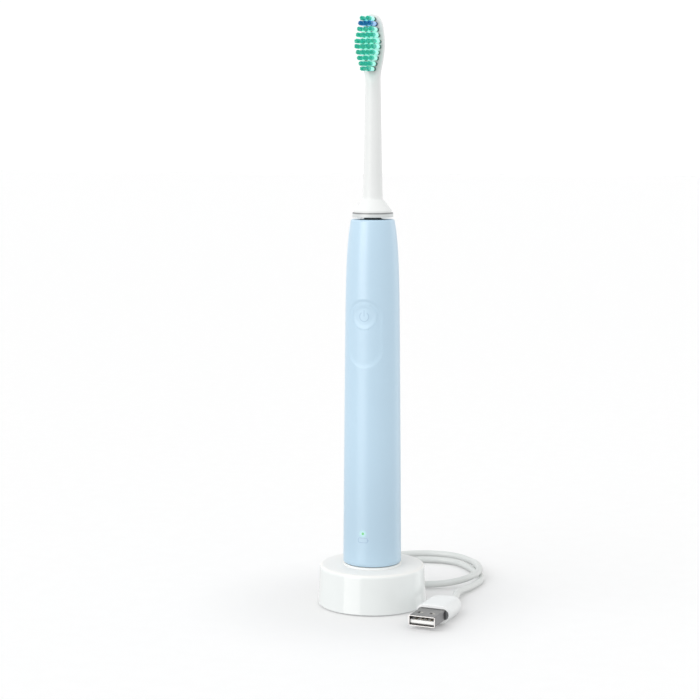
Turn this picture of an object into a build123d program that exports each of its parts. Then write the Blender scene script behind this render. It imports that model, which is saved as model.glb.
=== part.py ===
from build123d import *
import os
from math import cos, pi, radians, sin, tan

# Electric toothbrush standing on its round induction charger, in millimetres.
# +Z is up, the power button and the bristles face -Y, and the origin is the middle
# of the charger's foot, on the surface that it stands on.

os.makedirs("parts", exist_ok=True)

# ---------------------------------------------------------------- driving dimensions
# Charger
BASE_R = 24.6            # housing radius at the bottom
BASE_TOP_R = 23.9        # housing radius at the top, so the wall has some draft
BASE_H = 18.4            # top face above the surface
BASE_LIFT = 0.4          # the rubber foot holds the housing this far up
BASE_WALL = 2.0
BASE_ROUND = 1.6         # top edge
PEG_R = 4.75
PEG_H = 9.0
PEG_WALL = 1.2
PLINTH_R, PLINTH_H = 12.9, 0.85     # low round step under the handle

# Handle
HANDLE_Z = 19.65         # bottom edge of the handle when it stands on the charger
HANDLE_TOP = 175.6
HANDLE_WALL = 1.6
SHAFT_HOLE_R = 4.6
GRIP_Z, GRIP_W, GRIP_H = 125.4, 16.8, 31.2      # thumb grip: centre height, width, height
GRIP_SINK = 0.4          # the grip lies this far below the handle's surface
GRIP_THICK = 0.7
BUTTON_Z, BUTTON_R, BUTTON_GAP = 132.9, 5.8, 0.25
BUTTON_BACK = -9.4       # back face of the button
BUTTON_DISH_R = 26.0     # radius of the hollow for the fingertip
LED_Z, LENS_R = 34.9, 0.55

# Board in the handle
BOARD_FRONT, BOARD_BACK = -6.2, -5.0            # its two faces, in Y
BOARD_W, BOARD_Z0, BOARD_Z1 = 14.0, 32.0, 140.0

# Battery
CELL_R, CELL_Y, CELL_Z0, CELL_Z1 = 7.0, 3.2, 37.0, 86.0

# Drive
SHAFT_R, SHAFT_Z0, SHAFT_TOP = 2.0, 106.0, 190.0
SHAFT_FLAT = 1.5         # the flat on the shaft's end is this far from the axis
SHAFT_FLAT_Z = 179.0
CHASSIS_R = 9.3

# Brush head
RING_Z0, RING_Z1, RING_R = 176.6, 178.6, 9.25
NECK_FOOT_Z, NECK_FOOT_R = 184.7, 4.45
PLATE_Z0, PLATE_TOP = 240.0, 265.8
PLATE_FRONT, PLATE_BACK = -2.0, 2.0
TUFT_TIP = -11.7
TUFT_R = 0.85

# Cable and plug
CORD_D = 3.2
EXIT_ANGLE = 117.0       # where the cable leaves the charger, counted from +X
EXIT_Z = 4.6
RELIEF_L = 12.0
PLUG_PLACE = Location((35.1, -36.1, 4.0), (0, 0, -3.8))
SHELL_W, SHELL_H, SHELL_L, SHELL_SHEET = 12.0, 4.5, 13.4, 0.3
COLLAR_W, COLLAR_H = 14.8, 5.0
BODY_W, BODY_H, BODY_L = 16.2, 8.0, 21.6


# ---------------------------------------------------------------- helpers
def save(solid, name):
    """Write one sub-part, under its node's name."""
    solid.label = name
    export_step(solid, f"parts/{name}.step")


def turned(points, rounds=()):
    """A solid turned about Z from a closed outline of (radius, height) points.

    rounds lists (radius, height, round) for the corners that are rounded.
    """
    outline = Polyline(*[(r, 0, z) for r, z in points], close=True)
    face = make_face(outline)
    for r, z, size in rounds:
        corner = face.vertices().sort_by_distance(Vector(r, 0, z))[0]
        face = fillet(corner, size)
    return revolve(face, Axis.Z)


def tube(r_out, r_in, z0, z1):
    """A plain tube, or a disc with a hole, standing on the axis."""
    return turned([(r_in, z0), (r_out, z0), (r_out, z1), (r_in, z1)])


def rod(r, z0, z1, x=0.0, y=0.0):
    """An upright round rod."""
    return Pos(x, y, (z0 + z1) / 2) * Cylinder(r, z1 - z0)


def block(x0, x1, y0, y1, z0, z1):
    """A box given by its limits."""
    return Pos((x0 + x1) / 2, (y0 + y1) / 2, (z0 + z1) / 2) * Box(x1 - x0, y1 - y0, z1 - z0)


def along_y(r, y0, y1, x, z):
    """A round rod that lies along Y."""
    return Pos(x, (y0 + y1) / 2, z) * Rot(90, 0, 0) * Cylinder(r, y1 - y0)


def along_x(r, x0, x1, y, z):
    """A round rod that lies along X."""
    return Pos((x0 + x1) / 2, y, z) * Rot(0, 90, 0) * Cylinder(r, x1 - x0)


# ---------------------------------------------------------------- charger
def charger_housing():
    """Round case with the peg and the low step that the handle stands over; open below."""
    peg_top = BASE_H + PEG_H
    step = BASE_H + PLINTH_H
    roof = BASE_H - BASE_WALL
    peg_in = PEG_R - PEG_WALL
    shell = turned(
        [(0, peg_top), (PEG_R, peg_top), (PEG_R, step), (PLINTH_R, step), (PLINTH_R, BASE_H),
         (BASE_TOP_R, BASE_H), (BASE_R, BASE_LIFT),
         (BASE_R - BASE_WALL, BASE_LIFT), (BASE_TOP_R - BASE_WALL, roof), (peg_in, roof),
         (peg_in, peg_top - PEG_WALL), (0, peg_top - PEG_WALL)],
        [(PEG_R, peg_top, 1.3), (PEG_R, step, 0.4), (PLINTH_R, step, 0.25), (PLINTH_R, BASE_H, 0.35),
         (BASE_TOP_R, BASE_H, BASE_ROUND),
         (BASE_R, BASE_LIFT, 0.3), (BASE_TOP_R - BASE_WALL, roof, 0.8)],
    )
    return shell - relief_place() * along_x(2.95, -8, 4, 0, 0)


def charger_base_plate():
    """Bottom plate, pushed in from below, with three posts for the board."""
    plate = rod(22.3, 0.9, 2.6)
    for angle in (35, 155, 275):
        x, y = 16 * cos(radians(angle)), 16 * sin(radians(angle))
        plate += rod(1.8, 2.6, 9.0, x, y)
    return plate - relief_place() * block(-4.0, 0, -4.0, 4.0, -6, 4)


def charger_components():
    """Coil driver parts on the charger's board: two capacitors, a chip and a choke."""
    top = 10.4
    parts = [
        rod(2.6, top, top + 5.2, -11.5, 4.0),
        rod(2.0, top, top + 4.6, -11.0, -4.5),
        block(6.5, 12.5, -9.5, -4.5, top, top + 1.4),
        block(7.5, 13.0, 2.5, 8.0, top, top + 3.6),
    ]
    parts += [block(x, x + 1.8, 11.5, 12.5, top, top + 0.8) for x in (-5, -1.5, 2, 5.5)]
    return Compound(children=parts)


def relief_place():
    """Where the strain relief sits: local +X points straight out of the charger."""
    wall = BASE_R - 0.3
    x, y = wall * cos(radians(EXIT_ANGLE)), wall * sin(radians(EXIT_ANGLE))
    return Location((x, y, EXIT_Z), (0, 0, EXIT_ANGLE))


def cable_strain_relief():
    """Tapered rubber sleeve with grooves, held in the wall by an inner flange."""
    root, tip, grooves = 2.9, 2.05, 4
    points = [(0, -3.6), (3.7, -3.6), (3.7, -2.5), (root, -2.5), (root, 1.0)]
    step = (RELIEF_L - 3.0) / grooves
    for i in range(grooves):
        z = 2.0 + i * step
        r = root - (root - tip) * z / RELIEF_L
        points += [(r, z), (r - 0.45, z + 0.15), (r - 0.45, z + 0.75), (r - 0.1, z + 0.9)]
    points += [(tip, RELIEF_L), (0, RELIEF_L)]
    return relief_place() * (Rot(0, 90, 0) * turned(points))


# ---------------------------------------------------------------- cable
# The route of the cable's centre line: out of the charger, once round behind it, over its
# own second strand at the right, round again, under the first strand and on to the plug.
CORD_ROUTE = [
    (-16.5, 32.4, 4.6), (-21.0, 41.2, 4.6), (-25.5, 53.5, 1.7), (-26.0, 68.5, 1.7),
    (-17.5, 83.0, 1.7), (-3.0, 92.5, 1.7), (13.5, 92.5, 1.7), (25.5, 80.0, 2.3),
    (31.0, 66.0, 5.3), (37.0, 53.5, 5.3), (33.5, 40.5, 3.9), (22.5, 32.5, 2.3),
    (9.0, 31.0, 1.7), (-7.0, 35.5, 1.7), (-17.0, 50.0, 1.7), (-14.0, 68.0, 1.7),
    (-0.5, 80.0, 1.7), (17.0, 80.5, 1.7), (28.5, 68.0, 1.7), (38.5, 53.0, 1.7),
    (37.5, 37.0, 1.7), (34.0, 21.0, 2.6), (38.0, 8.0, 4.0), (37.4, -1.1, 4.0),
]


def cord_path():
    """Straight runs joined by arcs, each as large as its two runs allow."""
    points = [Vector(*p) for p in CORD_ROUTE]
    radii = []
    for a, b, c in zip(points, points[1:], points[2:]):
        half_turn = radians((b - a).get_angle(c - b)) / 2
        run = min((b - a).length, (c - b).length)
        radii.append(0.45 * run / tan(half_turn))
    print("cable arcs, radius in mm:", [round(r, 1) for r in radii])
    print("runs:", [round((b - a).length, 1) for a, b in zip(points, points[1:])])
    return FilletPolyline(*points, radius=radii)


def usb_cable():
    """The cable, from the strain relief's end to the plug's back."""
    path = cord_path()
    section = Plane(path @ 0, z_dir=path % 0) * Circle(CORD_D / 2)
    solid = sweep(section, path=path)
    expected = pi * (CORD_D / 2) ** 2 * path.length
    print(f"cable: length {path.length:.1f} mm, volume {solid.volume:.0f} of {expected:.0f} mm3")
    return solid


# ---------------------------------------------------------------- plug
# In the plug's own frame X is across, +Y runs from the mouth to the cable, Z is up.
def stadium_y(width, height, y0, y1):
    """A bar with half-round sides that runs along Y."""
    face = Plane((0, y0, 0), x_dir=(1, 0, 0), z_dir=(0, 1, 0)) * SlotOverall(width, height)
    return extrude(face, y1 - y0)


def shell_outline(width, height, y0, y1, corner):
    face = Plane((0, y0, 0), x_dir=(1, 0, 0), z_dir=(0, 1, 0)) * RectangleRounded(width, height, corner)
    return extrude(face, y1 - y0)


def usb_plug_shell():
    """Folded sheet shell with the two latch windows above and below."""
    length = SHELL_L + 4.5
    inner_w, inner_h = SHELL_W - 2 * SHELL_SHEET, SHELL_H - 2 * SHELL_SHEET
    shell = shell_outline(SHELL_W, SHELL_H, 0, length, 0.55)
    shell -= shell_outline(inner_w, inner_h, -1, length + 1, 0.3)
    for x in (-2.8, 2.8):
        shell -= block(x - 1.15, x + 1.15, 5.1, 7.0, -4, 4)
    return shell


def usb_plug_tongue():
    """White insulator: the flat tongue low in the mouth and the block behind it."""
    tongue = block(-5.6, 5.6, 0.9, 17.6, -1.75, 0.15)
    tongue += block(-5.6, 5.6, 12.4, 17.6, -1.75, 1.85)
    return tongue


def usb_plug_contacts():
    """Four gold-plated strips on the tongue; the two outer ones reach further forward."""
    strips = []
    for x, front in ((-3.5, 1.6), (-1.0, 2.6), (1.0, 2.6), (3.5, 1.6)):
        strips.append(block(x - 0.5, x + 0.5, front, 11.8, 0.15, 0.3))
    return Compound(children=strips)


def usb_plug_collar():
    """Grey retaining plate round the shell, just inside the overmold's front."""
    plate = stadium_y(COLLAR_W, COLLAR_H, SHELL_L + 0.15, SHELL_L + 1.0)
    return plate - shell_outline(SHELL_W, SHELL_H, SHELL_L - 1, SHELL_L + 3, 0.55)


def usb_plug_overmold():
    """White moulded body, rounded towards the cable in plan and from the side."""
    middle, end = SHELL_L + BODY_L / 2, SHELL_L + BODY_L
    body = stadium_y(BODY_W, BODY_H, SHELL_L, end)
    plan = Pos(0, middle) * RectangleRounded(BODY_W, BODY_L, 4.2)
    plan += Pos(0, SHELL_L + BODY_L / 4) * Rectangle(BODY_W, BODY_L / 2)
    body &= Pos(0, 0, -BODY_H / 2) * extrude(plan, BODY_H)
    side = Plane.YZ * Pos(middle, 0) * RectangleRounded(BODY_L, BODY_H, 2.2)
    side += Plane.YZ * Pos(SHELL_L + BODY_L / 4, 0) * Rectangle(BODY_L / 2, BODY_H)
    body &= extrude(side, BODY_W, both=True)
    body -= stadium_y(COLLAR_W, COLLAR_H, SHELL_L - 1, SHELL_L + 1.0)
    return body - shell_outline(SHELL_W, SHELL_H, SHELL_L - 1, SHELL_L + 4.5, 0.55)


# ---------------------------------------------------------------- handle
# Radius of the handle at a few heights: nearly straight below, drawn in at the top.
HANDLE_LINE = [(13.2, 20.05), (13.0, 48.0), (12.65, 90.0), (12.25, 130.0),
               (11.95, 148.0), (11.35, 162.0), (10.6, 170.0), (9.9, 174.7)]


def handle_core(inset):
    """The handle's outer form, filled to the axis and made smaller by inset."""
    line = [Vector(r - inset, 0, z) for r, z in HANDLE_LINE]
    side = Spline(*line)
    edges = [
        side,
        Line(line[-1], (0, 0, HANDLE_LINE[-1][1])),
        Line((0, 0, HANDLE_LINE[-1][1]), (0, 0, HANDLE_LINE[0][1])),
        Line((0, 0, HANDLE_LINE[0][1]), line[0]),
    ]
    return revolve(make_face(edges), Axis.Z)


def handle_tube():
    """The bare housing: a wall of even thickness, with a flat top round the shaft's hole."""
    outer = [Vector(r, 0, z) for r, z in HANDLE_LINE]
    inner = [Vector(r - HANDLE_WALL, 0, z) for r, z in HANDLE_LINE[:-1]]
    roof = HANDLE_TOP - HANDLE_WALL
    low_edge = Vector(outer[0].X - 0.3, 0, HANDLE_Z)
    top_edge = Vector(outer[-1].X - 0.75, 0, HANDLE_TOP)
    corner = [Vector(inner[-1].X - 0.5, 0, roof), Vector(SHAFT_HOLE_R, 0, roof),
              Vector(SHAFT_HOLE_R, 0, HANDLE_TOP)]
    foot = Vector(inner[0].X, 0, HANDLE_Z)
    middle = (outer[-1] + top_edge) / 2 + Vector(0.12, 0, 0.14)
    edges = [
        Line(low_edge, outer[0]),
        Spline(*outer),
        ThreePointArc(outer[-1], middle, top_edge),
        Polyline(top_edge, corner[2], corner[1], corner[0], inner[-1]),
        Spline(*inner),
        Polyline(inner[0], foot, low_edge),
    ]
    return revolve(make_face(edges), Axis.Z)


def grip_prism(play):
    """A bar with the grip's oval outline that runs along Y through the front wall."""
    width, height = GRIP_W - 2 * play, GRIP_H - 2 * play
    oval = Plane.XZ * Pos(0, GRIP_Z) * Rot(0, 0, 90) * SlotOverall(height, width)
    return extrude(oval, 16)


def handle_housing():
    """Blue outer shell with the seat of the thumb grip, the button's hole and the lamp's hole."""
    depth = GRIP_SINK + GRIP_THICK
    shell = handle_tube() - (grip_prism(0) - handle_core(depth))
    shell -= along_y(BUTTON_R + BUTTON_GAP, -16, -8, 0, BUTTON_Z)
    return shell - along_y(LENS_R + 0.05, -16, -10, 0, LED_Z)


def thumb_grip():
    """Soft blue pad that lies a little below the handle's surface, round the button."""
    pad = grip_prism(0.05) & (handle_core(GRIP_SINK) - handle_core(GRIP_SINK + GRIP_THICK))
    return pad - along_y(BUTTON_R + BUTTON_GAP, -16, -8, 0, BUTTON_Z)


def power_button():
    """Round button, dished for the fingertip, flush with the grip round it."""
    blank = along_y(BUTTON_R, -14, BUTTON_BACK, 0, BUTTON_Z) & handle_core(GRIP_SINK)
    face = -(HANDLE_LINE[3][0] - GRIP_SINK)
    dish = Pos(0, face + 0.45 - BUTTON_DISH_R, BUTTON_Z) * Sphere(BUTTON_DISH_R)
    return blank - dish


def handle_end_cap():
    """Bottom cap with the socket that goes over the charger's peg."""
    floor, flange, mouth, wall, roof = HANDLE_Z + 0.2, 21.0, 5.2, 6.4, 28.8
    outer = HANDLE_LINE[0][0] - HANDLE_WALL - 0.05
    return turned(
        [(mouth + 0.6, floor), (outer, floor), (outer, flange), (wall, flange), (wall, roof + 1),
         (0, roof + 1), (0, roof), (mouth, roof), (mouth, floor + 0.6)],
        [(wall, roof + 1, 0.6)],
    )


def receiver_coil_bobbin():
    """Flanged ring round the socket."""
    return turned([(6.45, 21.05), (9.4, 21.05), (9.4, 21.85), (6.9, 21.85), (6.9, 28.4),
                   (9.4, 28.4), (9.4, 29.2), (6.45, 29.2)])


def battery():
    """Round cell with its small positive cap."""
    cell = rod(CELL_R, CELL_Z0, CELL_Z1, 0, CELL_Y)
    cell = fillet(cell.edges().filter_by(GeomType.CIRCLE), 0.6)
    return cell + rod(2.6, CELL_Z1, CELL_Z1 + 1.0, 0, CELL_Y)


def battery_terminals():
    """Welded tabs at both ends of the cell, which reach forward to the board."""
    low = block(-2.5, 2.5, BOARD_BACK + 0.1, CELL_Y + 3, CELL_Z0 - 0.35, CELL_Z0 - 0.05)
    high = block(-2.5, 2.5, BOARD_BACK + 0.1, CELL_Y + 3, CELL_Z1 + 1.05, CELL_Z1 + 1.35)
    return Compound(children=[low, high])


def battery_holder():
    """Cradle behind the cell, with a plate under it."""
    cradle = rod(CELL_R + 0.8, CELL_Z0 - 3, CELL_Z1, 0, CELL_Y)
    cradle -= rod(CELL_R + 0.1, CELL_Z0 - 1.5, CELL_Z1 + 1, 0, CELL_Y)
    return cradle - block(-12, 12, -12, CELL_Y + 1.0, CELL_Z0 - 4, CELL_Z1 + 1)


def board_components():
    """Parts on the front of the board: controller, coil driver, charger chip, small parts."""
    y0 = BOARD_FRONT
    parts = [
        block(-3.0, 3.0, y0 - 1.0, y0, 58, 64),
        block(-2.2, 2.2, y0 - 1.1, y0, 74, 79),
        block(-4.6, -1.0, y0 - 1.1, y0, 92, 97),
        block(1.0, 4.6, y0 - 1.1, y0, 92, 97),
    ]
    for z in (46, 49, 52, 68, 71, 84, 87, 104, 108, 112):
        parts.append(block(-4.6, -3.0, y0 - 0.7, y0, z, z + 0.9))
        parts.append(block(3.0, 4.6, y0 - 0.7, y0, z + 0.6, z + 1.5))
    return Compound(children=parts)


def tact_switch_body():
    """Push switch behind the button, with the well that its plunger moves in."""
    half = 3.0
    body = block(-half, half, -8.4, BOARD_FRONT, BUTTON_Z - half, BUTTON_Z + half)
    return body - along_y(1.75, -9, -6.9, 0, BUTTON_Z)


def light_guide():
    """Clear pin that carries the lamp's light to a small dot on the handle's front."""
    guide = along_y(1.2, -11.0, -7.1, 0, LED_Z) + along_y(LENS_R, -14, -10.9, 0, LED_Z)
    return guide & handle_core(0.02)


def drive_chassis():
    """Half tube with three bulkheads, which carries the coil and both bearings."""
    half = tube(CHASSIS_R, CHASSIS_R - 0.8, 88.5, 161) - block(-12, 12, -12, 1.0, 80, 170)
    for z, hole in ((88.5, 0), (119.5, 4.0), (158.0, 4.0)):
        plate = rod(CHASSIS_R - 0.3, z, z + 1.5) - block(-12, 12, -12, BOARD_BACK + 0.3, 80, 170)
        half += plate - rod(hole, z - 1, z + 3) if hole else plate
    return half


def stator_core():
    """Iron core shaped like an E, whose outer legs stand beside the magnets."""
    depth = 2.6
    core = block(-7.6, 7.6, -depth, depth, 90.4, 93.8)
    for x0, x1, top in ((-7.6, -5.6, 117), (5.6, 7.6, 117), (-1.8, 1.8, 103.6)):
        core += block(x0, x1, -depth, depth, 93.8, top)
    return core


def drive_coil_bobbin():
    """Box-shaped bobbin on the core's middle leg."""
    body = block(-2.4, 2.4, -3.2, 3.2, 93.9, 103.6)
    for z in (93.9, 102.9):
        body += block(-5.2, 5.2, -4.4, 4.4, z, z + 0.7)
    return body - block(-1.85, 1.85, -2.65, 2.65, 93, 105)


def drive_coil():
    """Copper winding between the bobbin's flanges."""
    winding = block(-5.0, 5.0, -4.3, 4.3, 94.7, 102.8)
    winding = fillet(winding.edges().filter_by(Axis.Z), 1.6)
    return winding - block(-2.45, 2.45, -3.25, 3.25, 94, 104)


def bearing(z):
    """Flanged plastic bush; z is the underside of its flange."""
    r_in = SHAFT_R + 0.04
    return turned([(r_in, z - 2.2), (3.95, z - 2.2), (3.95, z), (5.0, z), (5.0, z + 0.9),
                   (3.95, z + 0.9), (3.95, z + 2.4), (r_in, z + 2.4)])


def shaft_seal():
    """Dark rubber seal in the hole at the handle's top."""
    r_in = SHAFT_R + 0.2
    return turned([(r_in, 172.6), (6.6, 172.6), (6.6, 173.9), (SHAFT_HOLE_R - 0.1, 173.9),
                   (SHAFT_HOLE_R - 0.1, 175.6), (3.6, 176.2), (r_in, 176.2)])


# ---------------------------------------------------------------- drive shaft
def flat_cut(play):
    """What the flat takes off a round rod of the shaft's size."""
    return block(-6, 6, -9, -(SHAFT_FLAT + play), SHAFT_FLAT_Z, 200)


def drive_shaft():
    """Steel shaft with a flat on the end that carries the brush head."""
    shaft = rod(SHAFT_R, SHAFT_Z0, SHAFT_TOP)
    shaft = chamfer(shaft.edges().sort_by(Axis.Z)[-1], 0.5)
    return shaft - flat_cut(0)


def rotor_magnets():
    """Two curved magnets on opposite sides of the yoke."""
    ring = tube(5.2, 3.0, 107.5, 116.5)
    sides = [ring & block(side * 3.9 - 2.4, side * 3.9 + 2.4, -3.3, 3.3, 107, 117) for side in (-1, 1)]
    return Compound(children=[piece.solids()[0] for piece in sides])


def return_spring():
    """Coil spring round the shaft, between the two bearings."""
    radius, wire, pitch, z0, z1 = 3.1, 0.45, 2.8, 124.0, 152.0
    coil = Pos(0, 0, z0) * Helix(pitch, z1 - z0, radius)
    section = Plane(coil @ 0, z_dir=coil % 0) * Circle(wire)
    return sweep(section, path=coil, is_frenet=True)


# ---------------------------------------------------------------- brush head
def head_outline():
    """The bristle plate seen from the front: an oval that grows out of the neck."""
    half = [(3.3, PLATE_Z0 - 4), (3.9, PLATE_Z0 + 1), (5.1, 246.5), (5.7, 253.0), (5.2, 259.0),
            (3.5, 263.9), (0, PLATE_TOP)]
    right = [Vector(x, 0, z) for x, z in half]
    left = [Vector(-x, 0, z) for x, z in reversed(half[:-1])]
    side = Spline(*right, *left)
    return make_face([side, Line(side @ 1, side @ 0)])


def neck_blank():
    """Skirt and neck, turned, and solid."""
    line = [(3.45, 236.0), (3.5, 232.0), (3.85, 212.0), (4.2, 195.0), (NECK_FOOT_R, NECK_FOOT_Z)]
    skirt = [(6.1, 182.7), (7.0, 181.4), (8.4, 179.6), (8.5, RING_Z1 + 0.05)]
    return turned([(0, 245.0), (1.6, 244.5), (2.7, 242.0), (3.3, 239.0)] + line + skirt + [(0, RING_Z1 + 0.05)])


def side_form():
    """The head seen from the side: a flat front above the neck and a back that thins upwards."""
    points = [(-12, 170), (-12, 232), (-3.6, 236), (PLATE_FRONT, 240.3), (PLATE_FRONT, 270),
              (1.0, 270), (1.6, 262), (PLATE_BACK + 0.4, 252), (3.2, 241), (12, 233), (12, 170)]
    outline = make_face(Polyline(*[(0, y, z) for y, z in points], close=True))
    return extrude(outline, 15, both=True)


def brush_head_body():
    """White body: hollow skirt, bore for the sleeve, neck and bristle plate."""
    plate = extrude(head_outline(), PLATE_BACK - PLATE_FRONT + 1, dir=(0, 1, 0))
    plate = Pos(0, PLATE_FRONT, 0) * plate
    body = (neck_blank() + plate) & side_form()
    body -= turned([(0, 178), (7.7, 178), (7.7, 179.4), (3.05, 184.0), (3.05, 190.9), (0, 190.9)])
    return body


def head_id_ring():
    """Pale ring under the skirt, with a lip that snaps inside it."""
    inner = 6.9
    return turned([(inner, RING_Z0), (RING_R, RING_Z0), (RING_R - 0.2, RING_Z1), (7.6, RING_Z1),
                   (7.6, RING_Z1 + 0.6), (inner, RING_Z1 + 0.6)], [(RING_R, RING_Z0, 0.3)])


def shaft_sleeve():
    """Sleeve in the neck, with a flat that keys it to the shaft."""
    z0, play = 179.6, 0.08
    bore = rod(SHAFT_R + play, z0 - 1, SHAFT_TOP + 0.4) - flat_cut(play)
    return rod(3.0, z0, 190.85) - bore


# One row of bristles to a node, from the tip of the head downwards:
# height, half width over the outer tufts, number of tufts.
TUFT_ROWS = [(263.4, 2.2, 2), (261.3, 2.95, 3), (258.8, 3.5, 3), (256.3, 4.05, 4), (253.65, 4.6, 4),
             (251.3, 4.6, 4), (248.8, 4.05, 4), (246.35, 3.5, 3), (243.9, 2.75, 3), (241.7, 2.1, 2)]


def tuft_row(z, half_width, count):
    """A row of round tufts across the plate."""
    outer = half_width - TUFT_R
    tufts = []
    for i in range(count):
        x = -outer + 2 * outer * i / (count - 1)
        tufts.append(along_y(TUFT_R, TUFT_TIP, PLATE_FRONT, x, z))
    return Compound(children=tufts)


# ---------------------------------------------------------------- all parts
PARTS = {
    "charger_housing": charger_housing(),
    "charger_base_plate": charger_base_plate(),
    "charger_foot_ring": tube(22.0, 18.5, 0, 0.9),
    "charger_circuit_board": rod(20.0, 9.0, 10.4),
    "charger_components": charger_components(),
    "charger_coil_bobbin": turned([(2.3, 10.4), (3.45, 10.4), (3.45, 11.2), (2.65, 11.2), (2.65, 24.9),
                                   (3.45, 24.9), (3.45, 25.6), (2.3, 25.6)]),
    "charger_primary_coil": tube(3.35, 2.7, 11.25, 24.85),
    "charger_ferrite_core": rod(2.25, 10.5, 25.8),
    "cable_strain_relief": cable_strain_relief(),
    "usb_cable": usb_cable(),
    "usb_plug_overmold": PLUG_PLACE * usb_plug_overmold(),
    "usb_plug_collar": PLUG_PLACE * usb_plug_collar(),
    "usb_plug_shell": PLUG_PLACE * usb_plug_shell(),
    "usb_plug_tongue": PLUG_PLACE * usb_plug_tongue(),
    "usb_plug_contacts": PLUG_PLACE * usb_plug_contacts(),
    "handle_housing": handle_housing(),
    "thumb_grip": thumb_grip(),
    "handle_end_cap": handle_end_cap(),
    "end_cap_seal": Pos(0, 0, 21.76) * Torus(10.8, 0.74),
    "receiver_coil_bobbin": receiver_coil_bobbin(),
    "receiver_coil": tube(9.1, 6.95, 21.9, 28.35),
    "battery": battery(),
    "battery_terminals": battery_terminals(),
    "battery_holder": battery_holder(),
    "circuit_board": block(-BOARD_W / 2, BOARD_W / 2, BOARD_FRONT, BOARD_BACK, BOARD_Z0, BOARD_Z1),
    "board_components": board_components(),
    "tact_switch_body": tact_switch_body(),
    "charge_led": block(-1, 1, -7.0, BOARD_FRONT, LED_Z - 0.8, LED_Z + 0.8),
    "light_guide": light_guide(),
    "drive_chassis": drive_chassis(),
    "stator_core": stator_core(),
    "drive_coil_bobbin": drive_coil_bobbin(),
    "drive_coil": drive_coil(),
    "rear_bearing": bearing(121.05),
    "front_bearing": bearing(159.55),
    "shaft_seal": shaft_seal(),
    "power_button": power_button(),
    "switch_plunger": along_y(1.5, -9.35, -7.9, 0, BUTTON_Z),
    "drive_shaft": drive_shaft(),
    "rotor_yoke": tube(2.95, SHAFT_R, 107.0, 117.0),
    "rotor_magnets": rotor_magnets(),
    "return_spring": return_spring(),
    "brush_head_body": brush_head_body(),
    "head_id_ring": head_id_ring(),
    "shaft_sleeve": shaft_sleeve(),
}
for number, (height, half_width, count) in enumerate(TUFT_ROWS, start=1):
    PARTS[f"tuft_row_{number:02d}"] = tuft_row(height, half_width, count)

for name, solid in PARTS.items():
    save(solid, name)
print(len(PARTS), "parts written")
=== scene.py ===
"""Electric toothbrush standing on its round charger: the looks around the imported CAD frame."""
import random
from math import cos, hypot, pi, radians, sin, sqrt

import bmesh
import bpy
from mathutils import Matrix, Vector
from mathutils.bvhtree import BVHTree


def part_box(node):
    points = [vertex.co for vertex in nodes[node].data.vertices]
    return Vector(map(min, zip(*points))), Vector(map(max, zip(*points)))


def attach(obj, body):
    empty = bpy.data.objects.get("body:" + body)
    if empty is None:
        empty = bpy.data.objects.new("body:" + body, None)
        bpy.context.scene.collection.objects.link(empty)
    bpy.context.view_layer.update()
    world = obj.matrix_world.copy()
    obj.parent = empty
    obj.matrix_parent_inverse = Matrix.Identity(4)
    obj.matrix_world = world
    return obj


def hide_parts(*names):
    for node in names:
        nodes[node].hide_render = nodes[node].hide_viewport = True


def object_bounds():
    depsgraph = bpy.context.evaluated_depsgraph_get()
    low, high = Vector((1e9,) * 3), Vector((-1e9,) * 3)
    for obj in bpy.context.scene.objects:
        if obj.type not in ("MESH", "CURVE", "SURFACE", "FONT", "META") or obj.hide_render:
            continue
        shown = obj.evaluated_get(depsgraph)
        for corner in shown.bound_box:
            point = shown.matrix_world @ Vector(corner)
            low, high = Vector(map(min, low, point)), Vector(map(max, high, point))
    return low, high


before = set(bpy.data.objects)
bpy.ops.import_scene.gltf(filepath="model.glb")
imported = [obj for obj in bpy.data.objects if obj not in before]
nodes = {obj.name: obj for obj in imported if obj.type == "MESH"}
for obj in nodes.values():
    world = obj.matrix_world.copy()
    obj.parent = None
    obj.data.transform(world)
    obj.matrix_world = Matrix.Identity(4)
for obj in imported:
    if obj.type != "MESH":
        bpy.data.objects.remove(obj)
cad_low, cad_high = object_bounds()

MM = 0.001
scene = bpy.context.scene
scene.view_settings.view_transform = "Standard"


# ---------------------------------------------------------------- sizes from the frame
housing_low, housing_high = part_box("handle_housing")
lamp_low, lamp_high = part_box("light_guide")
button_low, button_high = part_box("power_button")
lamp_centre = (lamp_low + lamp_high) / 2
button_centre = (button_low + button_high) / 2


# ---------------------------------------------------------------- camera
VIEW_TURN = radians(19.0)        # the object stands turned this far from the line of sight
CAMERA_DISTANCE = 0.78211        # from the toothbrush's axis
CAMERA_HEIGHT = 0.21409
CAMERA_AIM = radians(0.745)      # the camera aims this far to the left of the axis
CAMERA_PITCH = radians(7.099)
CAMERA_LENS = 89.89


def make_camera():
    """A long lens a little above the object."""
    data = bpy.data.cameras.new("camera")
    data.lens = CAMERA_LENS
    data.sensor_width = 36.0
    data.clip_start = 0.01
    camera = bpy.data.objects.new("camera", data)
    x, y = CAMERA_DISTANCE * sin(VIEW_TURN), -CAMERA_DISTANCE * cos(VIEW_TURN)
    camera.location = (x, y, CAMERA_HEIGHT)
    camera.rotation_euler = (pi / 2 - CAMERA_PITCH, 0, VIEW_TURN + CAMERA_AIM)
    scene.collection.objects.link(camera)
    scene.camera = camera


make_camera()


# ---------------------------------------------------------------- mesh kit
SHARP_EDGE = radians(38)


def to_mesh(name, shape):
    """A mesh from a bmesh, with its faces turned outwards and smooth up to the sharp edges."""
    bmesh.ops.recalc_face_normals(shape, faces=shape.faces[:])
    mesh = bpy.data.meshes.new(name)
    shape.to_mesh(mesh)
    shape.free()
    mesh.shade_smooth()
    mesh.set_sharp_from_angle(angle=SHARP_EDGE)
    return mesh


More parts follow.
